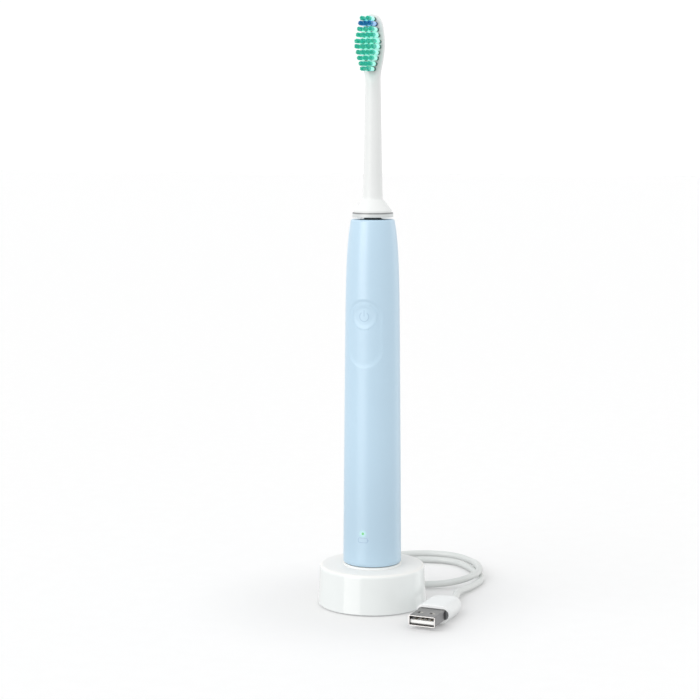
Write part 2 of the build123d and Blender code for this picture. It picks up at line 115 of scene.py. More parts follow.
def bridge(shape, first, second, skipped=()):
    """Quads between two rings of vertices, apart from some columns."""
    count = len(first)
    for i in range(count):
        if i not in skipped:
            j = (i + 1) % count
            shape.faces.new((first[i], first[j], second[j], second[i]))


def skin(shape, rings, closed=False):
    """Joins rings of points, all with the same count, by quads; closes the ends with caps."""
    made = [[shape.verts.new(point) for point in ring] for ring in rings]
    for first, second in zip(made, made[1:]):
        bridge(shape, first, second)
    if closed:
        bridge(shape, made[-1], made[0])
    else:
        shape.faces.new(list(reversed(made[0])))
        shape.faces.new(made[-1])


def surface_of(mesh):
    """A search tree over the faces of a mesh."""
    points = [vertex.co.copy() for vertex in mesh.vertices]
    return BVHTree.FromPolygons(points, [list(face.vertices) for face in mesh.polygons])


def smoothstep(value):
    """0 to 1 for a value from 0 to 1, with soft ends."""
    value = min(1.0, max(0.0, value))
    return value * value * (3 - 2 * value)


# ---------------------------------------------------------------- pieces on the plug
PLUG_TURN = radians(-3.8)        # the plug lies turned this far about the upright axis
PLUG_WIDTH, PLUG_LENGTH = 12.0 * MM, 17.9 * MM       # of its steel shell
plug_along = Vector((-sin(PLUG_TURN), cos(PLUG_TURN), 0))
plug_low, plug_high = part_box("usb_plug_shell")
plug_centre = (plug_low + plug_high) / 2
plug_mouth = plug_centre - plug_along * PLUG_LENGTH / 2


def plug_piece(name, shape):
    """A piece on the plug, built in the plug's own frame: X across, Y from the mouth to the cable."""
    place = Matrix.Translation(plug_mouth) @ Matrix.Rotation(PLUG_TURN, 4, "Z")
    bmesh.ops.transform(shape, matrix=place, verts=shape.verts[:])
    piece = bpy.data.objects.new(name, to_mesh(name, shape))
    scene.collection.objects.link(piece)
    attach(piece, "charger")
    return piece


# The moulded body, in millimetres: half width and half height, and how far behind the mouth it lies.
BODY_HALF, BODY_END_HALF = (7.8, 4.0), (3.3, 2.1)
BODY_START, BODY_TAPER_START, BODY_END = 13.4, 25.0, 34.6
BODY_ROUNDNESS = 2.3             # power of the curve that draws it in: 2 is an ellipse
BODY_EDGE = 0.25                 # rounding of the front edge
RECESS_HALF, RECESS_DEPTH = (7.4, 2.5), 1.0          # where the grey plate sits
BODY_STEPS, BODY_RINGS = 72, 22


def body_ring(along, half_width, half_height):
    """One outline of the moulded body: flat above and below, half round at the sides."""
    ring = []
    for step in range(BODY_STEPS):
        angle = 2 * pi * (step + 0.5) / BODY_STEPS
        side = half_width - half_height if cos(angle) > 0 else half_height - half_width
        across, up = half_height * cos(angle) + side, half_height * sin(angle)
        ring.append((across * MM, along * MM, up * MM))
    return ring


def make_plug_body():
    """The plug's moulded body, drawn in towards the cable in plan and from the side."""
    width, height = BODY_HALF
    rows = [(BODY_START + RECESS_DEPTH, *RECESS_HALF), (BODY_START, *RECESS_HALF)]
    for back, inset in ((0.0, 1.0), (0.3, 0.3), (1.0, 0.0)):
        inset *= BODY_EDGE
        rows.append((BODY_START + back * BODY_EDGE, width - inset, height - inset))
    for ring in range(BODY_RINGS + 1):
        share = sin(pi / 2 * ring / BODY_RINGS)
        left = (1 - share ** BODY_ROUNDNESS) ** (1 / BODY_ROUNDNESS)
        along = BODY_TAPER_START + (BODY_END - BODY_TAPER_START) * share
        half = [low + (high - low) * left for low, high in zip(BODY_END_HALF, BODY_HALF)]
        rows.append((along, *half))
    shape = bmesh.new()
    skin(shape, [body_ring(*row) for row in rows])
    body = plug_piece("plug_body", shape)
    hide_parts("usb_plug_overmold")
    return body


WINDOWS = (-2.8, 2.8)            # the latch windows' middles across the plug, in millimetres
TAB_LOW, TAB_HIGH = (0.05, 5.2, 2.02), (1.1, 6.9, 2.16)      # a tab's corners from there


def make_window_tabs():
    """A thin bright tab under the right half of each latch window."""
    shape = bmesh.new()
    low, high = Vector(TAB_LOW) * MM, Vector(TAB_HIGH) * MM
    size = Matrix.Diagonal((*(high - low), 1))
    for across in WINDOWS:
        middle = Matrix.Translation((low + high) / 2 + Vector((across * MM, 0, 0)))
        made = bmesh.ops.create_cube(shape, size=1.0)
        bmesh.ops.transform(shape, matrix=middle @ size, verts=made["verts"])
    return plug_piece("window_tabs", shape)


plug_body = make_plug_body()
tabs = make_window_tabs()


# ---------------------------------------------------------------- cable
CORD_DIAMETER = 3.2 * MM
CORD_ROUTE = [
    (-16.5, 32.4, 4.6), (-21.0, 41.2, 4.6), (-25.5, 53.5, 1.7), (-26.0, 68.5, 1.7),
    (-17.5, 83.0, 1.7), (-3.0, 92.5, 1.7), (13.5, 92.5, 1.7), (25.5, 80.0, 2.3),
    (31.0, 66.0, 5.3), (37.0, 53.5, 5.3), (33.5, 40.5, 3.9), (22.5, 32.5, 2.3),
    (9.0, 31.0, 1.7), (-7.0, 35.5, 1.7), (-17.0, 50.0, 1.7), (-14.0, 68.0, 1.7),
    (-0.5, 80.0, 1.7), (17.0, 80.5, 1.7), (28.5, 68.0, 1.7), (38.5, 53.0, 1.7),
    (37.5, 37.0, 1.7), (34.0, 21.0, 2.6), (38.0, 8.0, 4.0), (37.4, -1.1, 4.0),
]


def make_cable():
    """The cable, one smooth line from the charger round its two loops to the plug."""
    data = bpy.data.curves.new("usb_cord", "CURVE")
    data.dimensions = "3D"
    spline = data.splines.new("NURBS")
    spline.points.add(len(CORD_ROUTE) - 1)
    for point, (x, y, z) in zip(spline.points, CORD_ROUTE):
        point.co = (x * MM, y * MM, z * MM, 1.0)
        point.radius = CORD_DIAMETER / 2
    spline.order_u = 3
    spline.use_endpoint_u = True
    spline.resolution_u = 16
    data.bevel_depth = 1.0          # times each point's radius
    data.bevel_resolution = 10
    data.use_fill_caps = True
    cable = bpy.data.objects.new("usb_cord", data)
    scene.collection.objects.link(cable)
    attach(cable, "charger")
    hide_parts("usb_cable")
    return cable


cable = make_cable()


# ---------------------------------------------------------------- node kit
VECTOR_MATH = "ShaderNodeVectorMath"


class Nodes:
    """A node tree, with short ways to add to it."""

    def __init__(self, tree):
        self.tree = tree

    def node(self, kind, settings=None, **inputs):
        """A new node; an input is a number, a colour or another node's socket."""
        made = self.tree.nodes.new(kind)
        for key, value in (settings or {}).items():
            setattr(made, key, value)
        for key, value in inputs.items():
            self.feed(made.inputs[key.replace("_", " ")], value)
        return made

    def feed(self, socket, value):
        """Links another node's socket to this one, or sets its number or colour."""
        if isinstance(value, bpy.types.NodeSocket):
            self.tree.links.new(value, socket)
        else:
            socket.default_value = value

    def maths(self, operation, *values, kind="ShaderNodeMath"):
        """The number that a Math node, or a vector one, makes of some values."""
        made = self.node(kind, {"operation": operation})
        for socket, value in zip(made.inputs, values):
            self.feed(socket, value)
        return made.outputs["Value"]

    def part(self, vector, axis):
        """The X, Y or Z of a vector."""
        return self.node("ShaderNodeSeparateXYZ", Vector=vector).outputs[axis]

    def spread(self, value, low, high, start=0.3, end=0.7):
        """value from start to end turned into low to high."""
        if start > end:
            start, end, low, high = end, start, high, low
        made = self.node("ShaderNodeMapRange", {"interpolation_type": "SMOOTHSTEP"}, Value=value,
                         From_Min=start, From_Max=end, To_Min=low, To_Max=high)
        return made.outputs["Result"]


# ---------------------------------------------------------------- floor and lights
FLOOR_REACH = 8.0                # half the floor's side, in metres
CARD_AIM = Vector((0, 0, 0.1))   # the cards stand level with this point on the axis and face it
CARD_TALL, CARD_DISTANCE = 1.6, 1.0


def make_floor():
    """A large pale floor. It catches shadows, and throws no light back onto the object."""
    mesh = bpy.data.meshes.new("floor")
    corners = [(x * FLOOR_REACH, y * FLOOR_REACH, 0) for x, y in ((-1, -1), (1, -1), (1, 1), (-1, 1))]
    mesh.from_pydata(corners, [], [(0, 1, 2, 3)])
    floor = bpy.data.objects.new("floor", mesh)
    floor.visible_glossy = False
    floor.visible_diffuse = False
    scene.collection.objects.link(floor)
    return floor


def make_world(middle, lift, sink, key, backdrop):
    """Pale surroundings with one wide soft glow: the key.

    The strength changes by lift overhead and drops by sink below. The key is (azimuth, elevation,
    inner radius, outer radius, strength), with its azimuth in degrees from the camera's side of
    the object, positive to the camera's right. What shows behind is an even white of strength backdrop.
    """
    world = bpy.data.worlds.new("studio")
    world.use_nodes = True
    sky = Nodes(world.node_tree)
    background = sky.tree.nodes["Background"]
    background.inputs["Color"].default_value = (1, 1, 1, 1)
    way = sky.node("ShaderNodeTexCoord").outputs["Generated"]
    azimuth, elevation, inner, outer, strength = key
    turn, rise = VIEW_TURN + radians(azimuth), radians(elevation)
    key_way = (sin(turn) * cos(rise), -cos(turn) * cos(rise), sin(rise))
    toward = sky.maths("DOT_PRODUCT", way, key_way, kind=VECTOR_MATH)
    total = sky.spread(toward, middle, middle + strength, cos(radians(outer)), cos(radians(inner)))
    height = sky.part(way, "Z")
    for operation, slope in (("MAXIMUM", lift), ("MINIMUM", sink)):
        total = sky.maths("MULTIPLY_ADD", sky.maths(operation, height, 0.0), slope, total)
    seen = sky.node("ShaderNodeLightPath").outputs["Is Camera Ray"]
    choice = sky.node("ShaderNodeMix", Factor=seen, A=total, B=backdrop)
    sky.feed(background.inputs["Strength"], choice.outputs[0])
    scene.world = world


def make_card(name, azimuth, width, radiance, tint):
    """A tall soft panel that faces the toothbrush and shows only as a reflection in gloss.

    azimuth is in degrees from the camera's side of the object, positive to the camera's right.
    """
    data = bpy.data.lights.new(name, "AREA")
    data.shape = "RECTANGLE"
    data.size, data.size_y = width, CARD_TALL
    data.energy = radiance * pi * width * CARD_TALL
    data.color = tint
    panel = bpy.data.objects.new(name, data)
    turn = VIEW_TURN + radians(azimuth)
    panel.location = (CARD_DISTANCE * sin(turn), -CARD_DISTANCE * cos(turn), CARD_AIM.z)
    aim = CARD_AIM - panel.location
    panel.rotation_euler = aim.to_track_quat("-Z", "Y").to_euler()
    panel.visible_camera = False
    panel.visible_diffuse = False
    scene.collection.objects.link(panel)


floor = make_floor()
make_world(middle=1.08, lift=-0.36, sink=0.88, key=(-55, 42, 14, 40, 1.15), backdrop=1.05)
make_card("left_card", azimuth=-44, width=0.68, radiance=3.8, tint=(1.0, 0.94, 0.9))
make_card("right_card", azimuth=118, width=0.42, radiance=0.95, tint=(1.0, 1.0, 1.0))


# ---------------------------------------------------------------- material kit
def linear(red, green, blue):
    """A linear colour from the usual 0 to 255 values."""
    def curve(value):
        value /= 255
        return value / 12.92 if value <= 0.04045 else ((value + 0.055) / 1.055) ** 2.4
    return (curve(red), curve(green), curve(blue), 1.0)


def shade(colour, factor):
    """The same colour, lighter or darker."""
    return (*[min(1.0, channel * factor) for channel in colour[:3]], 1.0)


class Finish(Nodes):
    """One procedural material: a Principled shader with patterns placed in the row frame."""

    def __init__(self, name, **constants):
        self.name = name
        self.material = bpy.data.materials.new(name)
        self.material.use_nodes = True
        super().__init__(self.material.node_tree)
        self.shader = self.tree.nodes["Principled BSDF"]
        self.place = self.node("ShaderNodeTexCoord").outputs["Object"]
        for socket, value in constants.items():
            self.shader.inputs[socket.replace("_", " ")].default_value = value

    def fed(self, socket="Base Color"):
        """What feeds one of the shader's sockets so far."""
        return self.shader.inputs[socket].links[0].from_socket

    def stretched(self, stretch):
        """The place, scaled unevenly, for grain that runs one way."""
        return self.node("ShaderNodeMapping", Vector=self.place, Scale=stretch).outputs["Vector"]

    def noise(self, size, detail=3.0, stretch=None):
        """Soft noise whose patches are about size millimetres wide."""
        place = self.stretched(stretch) if stretch else self.place
        made = self.node("ShaderNodeTexNoise", Vector=place, Scale=1 / (size * MM), Detail=detail)
        return made.outputs["Fac"]

    def waves(self, period, direction, distortion=0.0):
        """Parallel waves, period millimetres apart, across X, Y or Z."""
        settings = {"wave_type": "BANDS", "bands_direction": direction}
        made = self.node("ShaderNodeTexWave", settings, Vector=self.place,
                         Scale=pi / (10 * period * MM), Distortion=distortion)
        return made.outputs["Fac"]

    def cells(self, size):
        """Round cells about size millimetres wide, dark in their middles."""
        made = self.node("ShaderNodeTexVoronoi", Vector=self.place, Scale=1 / (size * MM))
        return made.outputs["Distance"]

    def blend(self, factor, first, second, how="MIX"):
        """A colour between first and second."""
        made = self.node("ShaderNodeMix", {"data_type": "RGBA", "blend_type": how})
        for slot, value in ((0, factor), (6, first), (7, second)):
            self.feed(made.inputs[slot], value)
        return made.outputs[2]

    def near(self, point, start, end, stretch=None):
        """1 within start millimetres of a point, falling to 0 at end millimetres."""
        place = self.stretched(stretch) if stretch else self.place
        centre = tuple(a * b for a, b in zip(point, stretch or (1, 1, 1)))
        apart = self.maths("DISTANCE", place, centre, kind=VECTOR_MATH)
        return self.spread(apart, 1.0, 0.0, start * MM, end * MM)

    def along(self, axis, start, end):
        """0 before start and 1 after end, both in metres, along X, Y or Z."""
        return self.spread(self.part(self.place, axis), 0.0, 1.0, start, end)

    def bumps(self, value, height):
        """Raises the surface by value times height millimetres, on top of any bumps before."""
        made = self.node("ShaderNodeBump", Height=value, Distance=height * MM)
        before = self.shader.inputs["Normal"]
        if before.is_linked:
            self.tree.links.new(before.links[0].from_socket, made.inputs["Normal"])
        self.tree.links.new(made.outputs["Normal"], before)

    def colour(self, value):
        self.feed(self.shader.inputs["Base Color"], value)

    def roughness(self, value):
        self.feed(self.shader.inputs["Roughness"], value)

    def glow(self, colour, strength):
        self.feed(self.shader.inputs["Emission Color"], colour)
        self.feed(self.shader.inputs["Emission Strength"], strength)


# ---------------------------------------------------------------- materials
def moulded(name, colour, rough, grain=0.3, depth=0.002, **constants):
    """Moulded plastic: faint flow marks in the colour, uneven gloss and a fine surface grain."""
    finish = Finish(name, **constants)
    flow = finish.noise(9.0, 4.0)
    finish.colour(finish.blend(flow, shade(colour, 0.985), shade(colour, 1.015)))
    low, high = rough
    finish.roughness(finish.spread(finish.noise(2.5), low, high))
    finish.bumps(finish.noise(grain, 2.0), depth)
    return finish


def charger_finish(name):
    """Glossy moulded white round the side, and fine satin on the top, whose white is warmed a little as
    painted light that cancels the blue light the handle throws on it.
    """
    finish = moulded(name, WHITE, (0.07, 0.13), grain=0.8, depth=0.0006, Specular_IOR_Level=0.3)
    facing = finish.node("ShaderNodeNewGeometry").outputs["Normal"]
    upward = finish.spread(finish.part(facing, "Z"), 0.0, 1.0, 0.2, 0.9)
    satin = finish.node("ShaderNodeMix", Factor=upward, A=finish.fed("Roughness"), B=0.5)
    finish.roughness(satin.outputs[0])
    # painted light: the top's warmer white offsets the blue light thrown on it by the handle
    finish.colour(finish.blend(upward, finish.fed(), linear(245, 244, 241)))
    return finish


def rubber(name, colour):
    """Soft moulded rubber, matt and finely pitted."""
    finish = moulded(name, colour, (0.55, 0.72), grain=0.18, depth=0.01)
    finish.bumps(finish.cells(0.5), 0.004)
    return finish


def metal(name, colour, rough, stretch=(1, 1, 1)):
    """Metal with rolled or ground grain along one way and a little staining."""
    finish = Finish(name, Metallic=1.0)
    stain = finish.noise(3.0, 5.0)
    finish.colour(finish.blend(stain, shade(colour, 0.92), shade(colour, 1.06)))
    low, high = rough
    grooves = finish.noise(0.12, 3.0, stretch)
    finish.roughness(finish.spread(grooves, low, high))
    finish.bumps(grooves, 0.0015)
    return finish


def plug_steel(name):
    """The plug's folded steel: brushed outside, with a painted highlight at the bent mouth, painted
    shade on its sides and painted shade within.
    """
    finish = metal(name, linear(140, 140, 140), (0.3, 0.42), (1, 0.08, 1))
    wall, rim, soft = 0.3 * MM, 0.12 * MM, 0.1 * MM

    def away(direction, reach):
        """0 within reach of the plug's middle along a direction, and 1 beyond it."""
        along = finish.maths("DOT_PRODUCT", finish.place, direction, kind=VECTOR_MATH)
        offset = finish.maths("SUBTRACT", along, plug_centre.dot(Vector(direction)))
        return finish.spread(finish.maths("ABSOLUTE", offset), 0.0, 1.0, reach, reach + soft)

    side = away((cos(PLUG_TURN), sin(PLUG_TURN), 0), PLUG_WIDTH / 2 - wall)
    top = away((0, 0, 1), (plug_high.z - plug_low.z) / 2 - wall)
    rim_highlight_mask = away(tuple(plug_along), PLUG_LENGTH / 2 - rim)
    # painted shade: the side walls are darker than the top and bottom
    painted_shade_flank = finish.blend(side, finish.fed(), linear(118, 118, 119))
    # painted highlight: a bright band round the mouth's rim
    outside = finish.blend(rim_highlight_mask, painted_shade_flank, linear(168, 168, 168))
    # painted shade: every inner surface of the shell is dark
    finish.colour(finish.blend(finish.maths("MAXIMUM", side, top), linear(96, 96, 98), outside))
    return finish


def tongue_finish(name):
    """The plug's white tongue, with a painted shadow along its foot as if it were undercut, and a faint
    painted glow all over.
    """
    white = linear(250, 250, 248)
    finish = moulded(name, white, (0.3, 0.42))
    # painted light: the tongue glows faintly, lifting its shade
    finish.glow(white, 0.06)
    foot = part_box("usb_plug_tongue")[0].z
    # painted shadow: the foot, up to this band, turns near black
    shown = finish.along("Z", foot + 0.45 * MM, foot + 0.57 * MM)
    finish.colour(finish.blend(shown, linear(10, 10, 12), finish.fed()))
    return finish


def winding(name, colour, wire, direction):
    """Enamelled wire wound in layers: a ridge for each turn, with painted shade in the gaps between
    turns.
    """
    finish = Finish(name, Metallic=0.85)
    turns = finish.waves(wire, direction, 0.4)
    # painted shade: the gaps between turns are dark
    finish.colour(finish.blend(turns, shade(colour, 0.35), colour))
    finish.roughness(finish.spread(finish.noise(0.6), 0.22, 0.4))
    finish.bumps(turns, wire * 0.35)
    return finish


def laminated(name, colour, sheet):
    """Stacked iron sheets seen from their edges."""
    finish = Finish(name, Metallic=0.8)
    edges = finish.waves(sheet, "Z")
    finish.colour(finish.blend(edges, shade(colour, 0.6), colour))
    finish.roughness(finish.spread(finish.noise(0.4), 0.35, 0.6))
    finish.bumps(edges, sheet * 0.2)
    return finish


def board_finish(name):
    """Green solder mask over copper tracks and plated pads."""
    finish = Finish(name)
    mask, track = linear(28, 92, 52), linear(62, 132, 70)
    tracks = finish.spread(finish.waves(1.1, "DIAGONAL", 6.0), 0.0, 1.0, 0.55, 0.62)
    finish.colour(finish.blend(tracks, mask, track))
    finish.roughness(finish.spread(finish.noise(1.0), 0.28, 0.42))
    finish.bumps(tracks, 0.02)
    return finish


def ferrite(name):
    """Pressed ferrite, dark and granular."""
    finish = Finish(name)
    grains = finish.cells(0.16)
    finish.colour(finish.blend(grains, linear(46, 44, 46), linear(78, 74, 76)))
    finish.roughness(finish.spread(finish.noise(0.5), 0.45, 0.7))
    finish.bumps(grains, 0.01)
    return finish


HANDLE_COLOUR = linear(197, 224, 242)
WHITE = linear(240, 244, 243)
# painted shade at the handle's foot, where less light reaches
FOOT_TOP, FOOT_LOW, FOOT_SHADE = 85 * MM, 12 * MM, 0.87      # the handle darkens towards its foot
lamp_front = (0.0, lamp_low.y, lamp_centre.z)


def handle_finish(name, rough, glow=False):
    """Satin light blue lacquer, with painted shade darkening it towards its foot; painted light: the
    wall round the charge lamp glows a little green.
    """
    finish = moulded(name, HANDLE_COLOUR, rough, grain=0.22, depth=0.0012, IOR=1.46)
    # painted shade: the colour darkens towards the foot
    foot = finish.along("Z", FOOT_TOP, FOOT_LOW)
    finish.colour(finish.blend(foot, finish.fed(), shade(HANDLE_COLOUR, FOOT_SHADE)))
    if glow:
        # painted light: a green glow on the wall round the lamp
        lit = finish.near(lamp_front, 0.5, 2.4)
        finish.glow(linear(120, 255, 150), finish.spread(lit, 0.0, 0.16, 0, 1))
    return finish


def lamp_finish(name):
    """Clear pin lit green from behind, deeper green at its rim."""
    finish = Finish(name)
    core = finish.near(lamp_front, 0.1, 0.6)
    finish.colour(finish.blend(core, linear(60, 150, 80), linear(120, 210, 140)))
    finish.roughness(finish.spread(finish.noise(0.3), 0.1, 0.2))
    finish.glow(linear(70, 190, 95), finish.spread(core, 0.1, 0.35, 0, 1))
    return finish


TIP_START, TIP_FULL = 5.6 * MM, 7.2 * MM     # the tip's colour sets in this far from the plate
# painted shade at the roots, where the bristles enter the plate
ROOT_END, ROOT_FREE = 1.7 * MM, 2.6 * MM     # and the dark of the roots ends this far from it
tuft_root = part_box("tuft_row_01")[1].y


def bristle_finish(name, tip, middle, root):
    """Nylon bristles: deep colour at the tips; pale and milky below, partly their dye and partly painted
    light; painted shade where they enter the plate; a painted glow along them.
    """
    finish = Finish(name, Subsurface_Weight=0.35, Subsurface_Scale=0.0008, IOR=1.53)
    tips = finish.along("Y", tuft_root - TIP_START, tuft_root - TIP_FULL)
    roots = finish.along("Y", tuft_root - ROOT_END, tuft_root - ROOT_FREE)
    # painted shade: near the plate the bristles take the dark root colour
    coloured = finish.blend(roots, root, finish.blend(tips, middle, tip))
    streaks = finish.blend(finish.noise(0.35, 2.0), (0.9, 0.9, 0.9, 1), (1.1, 1.1, 1.1, 1))
    finish.colour(finish.blend(1.0, coloured, streaks, "MULTIPLY"))
    # painted light: the bristles glow, most in their pale middles and not at all at the roots
    free = finish.spread(roots, 0.0, 1.0, 0, 1)
    finish.glow(coloured, finish.maths("MULTIPLY", free, finish.spread(tips, 0.24, 0.08, 0, 1)))
    finish.roughness(finish.spread(finish.noise(0.5), 0.3, 0.45))
    finish.bumps(finish.noise(0.2), 0.004)
    return finish


BRISTLE_FIELD = (1.0, 1.0, 0.5)      # the tufts fill an oval about twice as tall as wide
field_centre = (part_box("tuft_row_01")[0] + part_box("tuft_row_10")[1]) / 2
field_centre.y = tuft_root


def head_finish(name):
    """Smooth white plastic, with a painted mint tint and painted glow where light comes through the
    bristles onto the plate.
    """
    finish = moulded(name, linear(241, 243, 242), (0.21, 0.26), depth=0.0004, Specular_IOR_Level=0.12)
    # painted light: a mint tint and glow on the plate under the bristles
    lit = finish.near(field_centre, 3.3, 4.5, BRISTLE_FIELD)
    finish.colour(finish.blend(lit, finish.fed(), linear(206, 248, 240)))
    finish.glow(linear(186, 252, 238), finish.spread(lit, 0.0, 0.6, 0, 1))
    return finish


ring_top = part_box("head_id_ring")[1].z - 0.6 * MM       # without its inner lip


def ring_finish(name):
    """Pale moulded plastic, with painted shade in the narrow groove under the skirt."""
    finish = moulded(name, linear(217, 221, 221), (0.3, 0.4))
    # painted shade in the groove under the skirt
    groove_painted_shade = finish.along("Z", ring_top - 0.6 * MM, ring_top - 0.4 * MM)
    finish.colour(finish.blend(groove_painted_shade, finish.fed(), linear(142, 144, 145)))
    return finish


def floor_finish(name):
    """Matt white paper that glows a little all over, with a painted shadow round the middle and a
    painted glow that lifts the shadow under the plug's mouth.
    """
    finish = moulded(name, linear(245, 245, 245), (0.6, 0.7), grain=1.0, depth=0.0)
    # painted shadow round the charger's middle
    finish.colour(finish.blend(finish.near((0, 0, 0), 20, 95), finish.fed(), linear(232, 232, 232)))
    under = plug_mouth + plug_along * 5 * MM
    # painted light: a glow that lifts the shadow under the plug's mouth, on top of a faint even glow
    lit = finish.near((*under.xy, 0), 3, 9)
    finish.glow((1, 1, 1, 1), finish.spread(lit, 0.06, 0.24, 0, 1))
    return finish


FINISHES = {finish.name: finish for finish in (
    charger_finish("charger_white"),
    rubber("foot_rubber", linear(196, 198, 200)),
    board_finish("board_green"),
    moulded("component_black", linear(30, 30, 33), (0.35, 0.55), depth=0.006),
    moulded("bobbin_plastic", linear(226, 220, 204), (0.35, 0.5)),
    winding("copper_wire", linear(196, 108, 62), 0.32, "Z"),
    ferrite("ferrite"),
    moulded("cable_white", linear(221, 224, 222), (0.32, 0.45), grain=0.25, depth=0.003),
    moulded("plug_white", linear(236, 238, 238), (0.3, 0.4), grain=0.25, depth=0.003),
    plug_steel("plug_steel"),
    tongue_finish("tongue_white"),
    moulded("plug_grey", linear(120, 122, 124), (0.4, 0.55)),
    moulded("insulator_white", linear(244, 244, 242), (0.3, 0.42)),
    # painted shade: the contacts' gold is dulled and darkened as if in the plug's shade
    moulded("contact_gold", linear(168, 158, 138), (0.35, 0.5), Metallic=0.35),
    handle_finish("handle_blue", (0.29, 0.35), glow=True),
    handle_finish("grip_blue", (0.36, 0.46)),
    rubber("seal_rubber", linear(108, 118, 126)),
    metal("battery_can", linear(86, 132, 120), (0.3, 0.5)),
    metal("nickel_strip", linear(196, 194, 186), (0.22, 0.38), (1, 1, 0.1)),
    moulded("chassis_plastic", linear(66, 70, 76), (0.4, 0.6)),
    lamp_finish("lamp_green"),
    lamp_finish("lens_clear"),
    laminated("core_iron", linear(120, 118, 116), 0.5),
    moulded("bearing_plastic", linear(232, 230, 222), (0.3, 0.45)),
    metal("shaft_steel", linear(190, 192, 196), (0.16, 0.28), (1, 1, 12)),
    metal("magnet_nickel", linear(170, 172, 176), (0.14, 0.26)),
    head_finish("head_white"),
    ring_finish("ring_grey"),
    # each bristle finish's last colour is the painted shade at the roots
    bristle_finish("bristle_teal", linear(80, 222, 202), linear(186, 252, 240), linear(36, 120, 108)),
    bristle_finish("bristle_blue", linear(36, 150, 205), linear(170, 206, 244), linear(34, 78, 136)),
    moulded("mark_blue", linear(178, 206, 227), (0.35, 0.45)),
    # painted shade: the battery mark's colour, darkened to sit in the handle's painted foot shade
    moulded("mark_low", linear(160, 188, 213), (0.35, 0.45)),
    floor_finish("floor_white"),
)}


def finish_cad_nodes():
    """Every CAD node gets the finish of its slot in the record."""
    for node in nodes.values():
        for slot in node.material_slots:
            slot.material = FINISHES[slot.material.name].material
    for name, finish in (("usb_plug_collar", "plug_grey"), ("usb_plug_tongue", "tongue_white")):
        nodes[name].material_slots[0].material = FINISHES[finish].material


finish_cad_nodes()


def add_piece(name, shape, body, finish, replaced=()):
    """Puts a finished shape in the scene as a piece that rides on a body."""
    mesh = to_mesh(name, shape)
    piece = bpy.data.objects.new(name, mesh)
    mesh.materials.append(FINISHES[finish].material)
    scene.collection.objects.link(piece)
    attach(piece, body)
    if replaced:
        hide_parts(*replaced)
    return piece


# ---------------------------------------------------------------- handle
WALL = 1.6 * MM
COLUMNS = 96                     # the handle's mesh: columns round it
ROW_STEP = 2.0 * MM
END_ROWS = 1.5 * MM              # plain rows keep this far from both ends
FOOT_ROWS = (0.0, 0.2, 0.4)      # rows of the rounded foot, in millimetres up from it
TOP_ROWS = (1.0, 0.8, 0.6, 0.42, 0.26, 0.13, 0.04)       # and of the top, down from it
WINDOW_MARGIN = 3 * MM           # a window's border lies this far above and below what it frames
BUTTON_COLUMNS, LAMP_COLUMNS = 15, 3         # a window's width, to each side of its middle
LAMP_HOLE = 0.6 * MM
LAMP_RINGS = 6
SHAFT_HOLE = 4.6 * MM
GRIP_WIDTH, GRIP_HEIGHT = 16.3 * MM, 31.0 * MM
GRIP_DEPTH = 0.25 * MM           # the grip's hollow below the handle's surface
GRIP_RAMP = 1.5 * MM             # width of the soft slope round the hollow
PAD_PROUD = 0.035 * MM           # the pad's edge stands this far above its seat
PAD_THICK = 0.6 * MM
PAD_LIP = 0.2 * MM               # the pad's edge rises from its seat over this width
SEAT_START, SEAT_SLOPE = 0.5 * MM, 1.0 * MM  # the seat deepens from there inwards, over this width
BUTTON_HOLE = 5.82 * MM
BUTTON_RADIUS = 5.8 * MM
BUTTON_DISH = 0.26 * MM
DISH_EDGE, DISH_FLOOR = 5.6 * MM, 3.4 * MM   # the dish slopes down between these radii
SEAM_RIM = 0.035 * MM            # rounding of the edges on each side of the button's seam
grip_low, grip_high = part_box("thumb_grip")
grip_z = (grip_low.z + grip_high.z) / 2
cad_wall = surface_of(nodes["handle_housing"].data)
RAY_START = 0.1                  # rays that measure the CAD set out this far from the axis


def handle_radius(z):
    """The handle's outer radius at a height, measured on its plain right side."""
    margin = 0.002 * MM
    z = min(max(z, housing_low.z + margin), housing_high.z - margin)
    return cad_wall.ray_cast(Vector((RAY_START, 0, z)), Vector((-1, 0, 0)))[0].x


def grip_distance(x, z):
    """How far a point lies outside the grip's oval, seen from the front; negative inside."""
    straight = (GRIP_HEIGHT - GRIP_WIDTH) / 2
    beyond = max(0.0, abs(z - grip_z) - straight)
    return hypot(x, beyond) - GRIP_WIDTH / 2


def pad_depth(x, z):
    """Depth of the pad's face below the handle's surface."""
    return GRIP_DEPTH * smoothstep(-grip_distance(x, z) / GRIP_RAMP)


def seat_depth(x, z):
    """Depth of the housing's own surface: the pad's seat inside the oval, and none outside."""
    inside = -grip_distance(x, z)
    if inside <= 0:
        return 0.0
    under = PAD_PROUD * smoothstep(inside / PAD_LIP)
    return pad_depth(x, z) + under + PAD_THICK * smoothstep((inside - SEAT_START) / SEAT_SLOPE)


def wall_point(x, z, inset):
    """The point in front at x and z, inset from the handle's outer surface."""
    radius = handle_radius(z) - inset
    return Vector((x, -sqrt(max(radius * radius - x * x, 0.0)), z))


def wall_ring(shape, z, radius, depth=None):
    """One ring of the handle's wall, starting in front; depth hollows its front half."""
    ring = []
    for i in range(COLUMNS):
        angle = 2 * pi * i / COLUMNS
        x = radius * sin(angle)
        r = radius - depth(x, z) if depth and cos(angle) > 0 else radius
        ring.append(shape.verts.new((r * sin(angle), -r * cos(angle), z)))
    return ring


def window_loop(rings, first, last, reach):
    """The border of a window in some rings, from column -reach to reach, as a loop."""
    bottom = [rings[first][c] for c in range(-reach, reach)]
    right = [rings[r][reach] for r in range(first, last)]
    top = [rings[last][c] for c in range(reach, -reach, -1)]
    left = [rings[r][-reach] for r in range(last, first, -1)]
    return bottom + right + top + left


